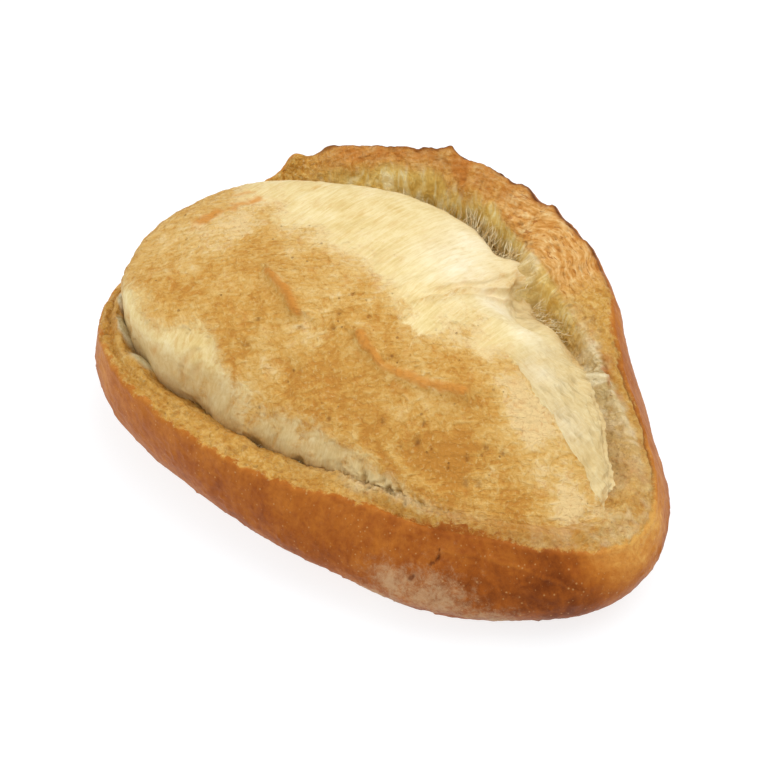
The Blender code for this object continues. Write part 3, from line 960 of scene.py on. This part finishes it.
def makeCrust(settings, material):
    sheet = layOut(settings["columns"], settings["rows"], crustPath, 2)
    points, place, degrees, flow = (sheet[k] for k in ("points", "place", "degrees", "flow"))
    rough, near = partial(soft, points), partial(wedge, degrees)
    past, before = partial(ramp, place), partial(fade, place)
    inEar, opened = shareOfEar(degrees), openness(degrees)
    filled = around(settings["closedFill"], degrees) * (1 - 0.8 * opened) * before(4.6, 5.4)
    filled += settings["grooveFill"] * opened * (1 - inEar) * past(4.05, 4.3) * before(4.7, 5.3)
    angle, half, rise = settings["bridge"]
    filled += rise * near(angle, half) * before(4.2, 5)
    bridged = near(angle, 1.3 * half) * before(4.6, 5.3)
    window = 0 * place
    for angle, at, wide, tall, rise in settings["windows"]:
        spot = near(angle, wide) * bump(place - at, tall)
        window = highest(window, ramp(spot, 0.25, 0.7))
        filled += rise * spot
    points[..., 2] += filled * (place < 6)
    z = points[..., 2]
    rimRow = int(np.argmin(abs(place[:, 0] - 6)))
    fromRim = sheet["run"][rimRow][None, :] - sheet["run"] + 0.5  # along the section, positive on the torn side
    ringOnly = flow * (1, 1, 0)
    calm = highest(0.6 * inEar, 0.6 * near(328, 30))
    fromRim = fromRim + (1.8 * soft(ringOnly, 16, 51, 2) + 1.3 * soft(ringOnly, 5, 52, 4)) * (1 - calm)
    for angle, half, further in settings["reach"]:
        fromRim = fromRim - further * near(angle, half)
    torn = ramp(fromRim, -0.8, 1.2)
    share = torn * past(3.2, 4) * (1 - 0.85 * window) * (1 - 0.6 * bridged)
    golden = np.clip(around(settings["golden"], degrees) + 0.25 * rough(9, 74, 3), 0, 1) * (1 - inEar)
    barkTurn = 1 - ramp(degrees, 86, 106)
    bark = inEar * ramp(place + 0.15 * rough(9, 56, 2), 4.75, 5.05) * torn * (0.6 + 0.4 * barkTurn)
    height = 1.4 * formLumps(points, 30, 5) * past(6.1, 6.8)
    # torn crumb: lumps, crests and pores and, on the ear, folds that run down its face
    warped = stirred(points, 1.6, 6, 70)
    lumps, crests = rough(9, 3, 4), ridged(warped, 5.5, 71, 4)
    height += settings["crumbRelief"] * lumps * share * (1 - 0.5 * bark)
    height += 1.7 * (crests - 0.55) * share * (1 - 0.7 * inEar) * (1 - 0.65 * golden)
    height += 0.35 * rough(1.8, 75, 2) * share
    pleats = soft(flow * (1, 1, 0.3) + rough(12, 78)[..., None] * 2, 11, 2, 3)
    pleats = pleats + 0.3 * soft(flow * (1, 1, 0.3), 3.2, 73, 3)
    height += settings["pleatRelief"] * pleats * share * inEar * (1 - 0.7 * bark) * before(5.6, 6.1)
    middle, between = pores(warped * (1, 1, 0.8), 4.4, 5)
    pit = share * (1 - inEar) * (1 - 0.8 * golden) * ramp(0.34 - middle, 0, 0.15)
    height -= 0.8 * pit
    grainPoints = np.stack((flow[..., 0] * 0.3, flow[..., 1] * 0.3, flow[..., 2]), axis=-1)
    barkMiddle, _ = pores(grainPoints + 1.2 * rough(5, 57, 2)[..., None], 2, 9)
    barkPit = bark * ramp(0.36 - barkMiddle, 0, 0.2) * ramp(rough(7, 58, 2), -0.3, 0.4)
    height += bark * (0.12 * soft(grainPoints, 2.6, 55, 3) + 0.6 * rough(8, 59, 3)) - 0.7 * barkPit
    height += bark * 0.42 * (ridged(grainPoints + 1.5 * rough(6, 93, 2)[..., None], 3.4, 83, 3) - 0.55)
    toast = seam = 0 * z
    for angle, at, wide, tall, rise, amount in settings["tufts"]:
        tuft = near(angle, wide) * bump(place - at, tall)
        height += rise * tuft * (1 + 0.8 * rough(2.5, 76, 3))
        toast = highest(toast, amount * tuft)
    # tight crust: low lumps, blisters, cracks, a lip along the tear
    outer = 1 - torn
    height += (0.6 * rough(12, 61, 4) + 0.16 * rough(2.2, 63, 2)) * outer
    height += 1.1 * rough(9, 64, 2) * fade(z, 6, 18) * outer
    height += 0.4 * bump(fromRim + 1.8, 1.4) * (1 - inEar)
    height += near(236, 34) * outer
    for angle, up, radius, rise in scattered(*settings["blisters"]):
        dip = abs(degreesApart(degrees[0], angle)) < 2
        away = np.hypot(degreesApart(degrees[:, dip], angle) * settings["mmPerDegree"], z[:, dip] - up)
        height[:, dip] += rise * bump(away, radius) * outer[:, dip] * (place[:, dip] > 6)
    # the ear's rim is burnt; the cracks and the cleft get the same dark colour as painted shade
    burntAndShade = inEar * bump(fromRim - 0.2, 1.1) * np.clip(0.8 + 0.5 * rough(6, 65, 2), 0, 1)
    wavy = stirred(points, 0.8, 4, 66)
    lines = [(*line, -1) for line in settings["cracks"]] + [(*line, 1) for line in settings["seams"]]
    for start, end, rise, half, way in lines:
        a, run = np.array(start), np.array(end) - np.array(start)
        t = np.clip(((wavy - a) @ run) / (run @ run), 0, 1)
        profile = bump(highest(norm(wavy - a - t[..., None] * run, axis=-1) - 0.55, 0), half)
        height += way * rise * profile * outer
        if way > 0:
            seam = highest(seam, 0.12 * profile)
        else:
            # painted shade in the cracks
            burntAndShade = highest(burntAndShade, 0.6 * ramp(profile, 0.3, 0.8))
    angle, half = settings["cleft"]
    cleft = near(angle, half) * bump(fromRim, 0.7)
    height -= 1.2 * cleft
    # painted shade in the cleft
    burntAndShade = highest(burntAndShade, cleft * 0.6)
    turned = (0.85 - 0.85 * barkTurn) * (0.65 + 0.5 * soft(flow * (1, 1, 0.5), 6, 79, 4))
    turned = turned * (1 - 0.5 * ramp(degrees, 134, 150))
    toast = highest(
        toast,
        inEar * ramp(place + 0.3 * pleats, 4.65, 5.35) * np.clip(turned, 0, 1),
        0.4 * share * ramp(crests, 0.6, 0.9) * (1 - inEar),
        ramp(fromRim, 4, 0.5) * inEar * 0.7,
        0.3 * near(341, 12) * ramp(rough(8, 94, 3), -0.7, 0.4),
    )
    # painted shade in the pits of the torn crumb and of the bark
    pitShade = highest(0.4 * pit, 0.3 * barkPit)
    yellow = highest(inEar, 0.85 * near(52, 11)) * fade(place + 0.25 * pleats, 4.65, 5.1)
    yellow *= 1 - 0.8 * bridged
    webMiddle, webWall = pores(flow * (1, 1, 0.7) + 1.5 * rough(5, 48, 2)[..., None], 3.4, 7)
    webbed = near(308, 20) * fade(place + 0.2 * rough(4, 80, 2), 4.5, 5.2) * torn
    height += webbed * (1.6 * webWall - 0.9)
    # painted shade: deep in the open crevice, at the foot of the ear's face and in the middles of the webbed pores
    shade = highest(
        fade(place + 0.15 * rough(4, 62, 2), 4.04, 4.22) * opened * 0.8,
        inEar * fade(place + 0.2 * pleats, 4.05, 4.4) * 0.26,
        webbed * 0.5 * ramp(0.55 - webMiddle, 0, 0.25),
    ) * (1 - window) * (1 - 0.7 * bridged)
    pale = (1 - inEar) * fade(place + 0.4 * rough(5, 77, 3), 4.2, 5)
    pale = highest(
        pale * highest(0.6 * near(305, 20), 0.35 * near(12, 9)),
        0.8 * bridged,
        near(28, 16) * fade(place + 0.35 * rough(4, 81, 3), 5, 5.6),
        0.45 * near(357, 15) * torn * ramp(rough(5, 82, 3), -0.6, 0.5),
    )
    angle, half, amount = settings["paleTip"]
    bake = around(settings["bake"], degrees) + 0.1 * ramp(z, 30, 45) + 0.1 * bump(fromRim, 1.8) * (1 - inEar)
    bake += amount * near(angle, half) * ramp(z + 5 * rough(9, 91, 3), 16, 44) + seam
    bake -= 0.22 * near(343, 8)
    flour = 0.7 * bump(z - 1, 6) * (1 - 0.8 * near(348, 16))
    flour *= 1 - 0.7 * near(262, 36)
    for angle, up, wide, tall, amount in settings["flour"]:
        flour = highest(flour, amount * near(angle, wide) * bump(z - up, tall))
    height = height * ramp(z, 0, 3) * (place > 3.4) * (place < 9)
    moved = points + sheet["normals"] * height[..., None]
    fields = {"crustMarks": (0.5 + np.clip(fromRim / 12, -0.5, 0.5), toast, shade, bark),
              "crustTones": (bake, flour, yellow, burntAndShade), "crustBlends": (golden * torn, pale, pitShade, window)}
    return makePiece("loaf_crust", sheet, moved, fields, material)


crust = makeCrust(crustSettings, makeCrustMaterial(crustLook))
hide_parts("bread_loaf")
print("crust made", len(crust.data.vertices))

# strands of stretched dough left in the tear
strandSettings = {
    "seed": 11,
    "colour": "f6e8c0",
    "toasted": "d9b878",
    "roughness": 0.5,
    "specular": 0.25,
    "lifts": (-0.3, 0.5, 0.8, 0.8, 0.5, -0.3),  # of each knot along a strand, whose ends are sunk into the dough
    "wander": 0.06,  # how far a strand strays sideways, of its length
    "sides": 5,
    "rings": 9,
    # patches: first and last angle, lowest and highest place on the dome and then on the crust, count, thinnest and
    # thickest radius, sag, drift in degrees
    "patches": (
        (82, 112, 2.9, 3.6, 4.3, 4.75, 260, 0.07, 0.17, 1, 2.5),
        (112, 150, 3.2, 3.7, 4.2, 4.6, 120, 0.07, 0.16, 1, 2.5), (44, 66, 2.9, 3.6, 4.2, 4.7, 40, 0.08, 0.16, 0.6, 2),
        (286, 324, 3.4, 3.9, 4.1, 4.6, 150, 0.1, 0.28, 0, 1.5),
        (205, 286, 3.7, 3.98, 4.05, 4.3, 200, 0.07, 0.18, 0.2, 2),
    ),
}


def manySpheres(shape, count, sides, rings):
    bmesh.ops.create_uvsphere(shape, u_segments=sides, v_segments=rings, radius=1)
    single = bpy.data.meshes.new("strand")
    shape.to_mesh(single)
    for _ in range(count - 1):
        shape.from_mesh(single)
    bpy.data.meshes.remove(single)


def strandBundle(settings, paths, radii):  # tapered strands, each a small sphere drawn out along its path
    mesh = meshFrom("torn_strands", manySpheres, count=len(paths), sides=settings["sides"], rings=settings["rings"])
    ball = corners(mesh).reshape(len(paths), -1, 3)
    knots = len(paths[0]) - 1
    t = np.clip((ball[..., 2] + 1) / 2, 0, 1) * knots
    k = np.minimum(t.astype(int), knots - 1)
    t = (t - k)[..., None]
    n = np.arange(len(paths))[:, None]
    run = np.gradient(paths, axis=1)
    spot = paths[n, k] * (1 - t) + paths[n, k + 1] * t
    ahead = run[n, k] * (1 - t) + run[n, k + 1] * t
    ahead /= norm(ahead, axis=-1, keepdims=True)
    side = np.cross(ahead, (0.3, -0.2, 1))
    side /= norm(side, axis=-1, keepdims=True)
    up = np.cross(side, ahead)
    moved = spot + (side * ball[..., :1] + up * ball[..., 1:2]) * np.asarray(radii)[:, None, None]
    setCorners(mesh, moved)
    return mesh


def makeStrands(settings, material):
    dice = np.random.default_rng(settings["seed"])
    paths, radii, knots = [], [], len(settings["lifts"])
    for first, last, domeLow, domeHigh, crustLow, crustHigh, count, thin, thick, sag, drift in settings["patches"]:
        count = round(count * detail)
        angle = dice.uniform(first, last, count)
        a = surfacePoints(angle, dice.uniform(domeLow, domeHigh, count))
        b = surfacePoints(angle + dice.normal(0, drift, count), dice.uniform(crustLow, crustHigh, count))
        reach = norm(b - a, axis=1)[:, None]
        for step, lift in enumerate(settings["lifts"]):
            t = step / (knots - 1)
            middling = 4 * t * (1 - t)
            paths.append(a + (b - a) * t + (0, 0, lift) - np.array((0, 0, sag)) * middling
                         + dice.normal(0, settings["wander"], (count, 3)) * reach * middling)
        radii.append(dice.uniform(thin, thick, count))
    loose = [np.stack(paths[k:k + knots], axis=1) for k in range(0, len(paths), knots)]
    mesh = strandBundle(settings, np.concatenate(loose), np.concatenate(radii))
    return finishPiece(mesh, "torn_strands", material, False)


def makeStrandMaterial(settings):
    # fine strands of stretched dough, pale and silky, toasted where they bridge the tear
    material, shader = startMaterial("stretched dough strands")
    place = addNode("TexCoord", {})["Object"]
    tones = ramped(noised(place, 4, 4), {0.4: settings["toasted"], 0.55: settings["colour"]})
    setInputs(shader, {"Base Color": tones, "Roughness": settings["roughness"], "IOR": crustIor,
                       "Specular IOR Level": settings["specular"]})
    return material


strands = makeStrands(strandSettings, makeStrandMaterial(strandSettings))
print("strands made", len(strands.data.polygons))

# floor and light
studioSettings = {
    "floorSize": 6,
    "floorColour": "969a9e",
    "floorGlow": 0.78,
    "sky": 0.57,
    # soft boxes: name, watts, place, size
    "boxes": (("overhead_box", 15.8, (0.35, 0.4, 1.5), 1.5), ("front_box", 6, (-0.35, -1.2, 0.9), 1.2)),
}


def makeStudio(settings):
    white = (1, 1, 1, 1)
    mesh = meshFrom("studio_floor", bmesh.ops.create_grid, x_segments=1, y_segments=1, size=settings["floorSize"] / 2)
    floor = addObject("studio_floor", mesh)
    material, shader = startMaterial("plain white studio floor")
    setInputs(shader, {"Base Color": srgb(settings["floorColour"]), "Roughness": 0.9, "Specular IOR Level": 0,
                       "Emission Color": white, "Emission Strength": settings["floorGlow"]})
    floor.data.materials.append(material)

    world = bpy.data.worlds.new("soft white studio")
    world.use_nodes = True
    setInputs(world.node_tree.nodes["Background"], {"Color": white, "Strength": settings["sky"]})
    bpy.context.scene.world = world

    for name, power, spot, size in settings["boxes"]:
        lamp = bpy.data.lights.new(name, "AREA")
        lamp.energy, lamp.size = power, size
        aimed(name, lamp, spot, -Vector(spot))
    bpy.context.scene.view_settings.view_transform = "Standard"


makeStudio(studioSettings)
print("studio made")
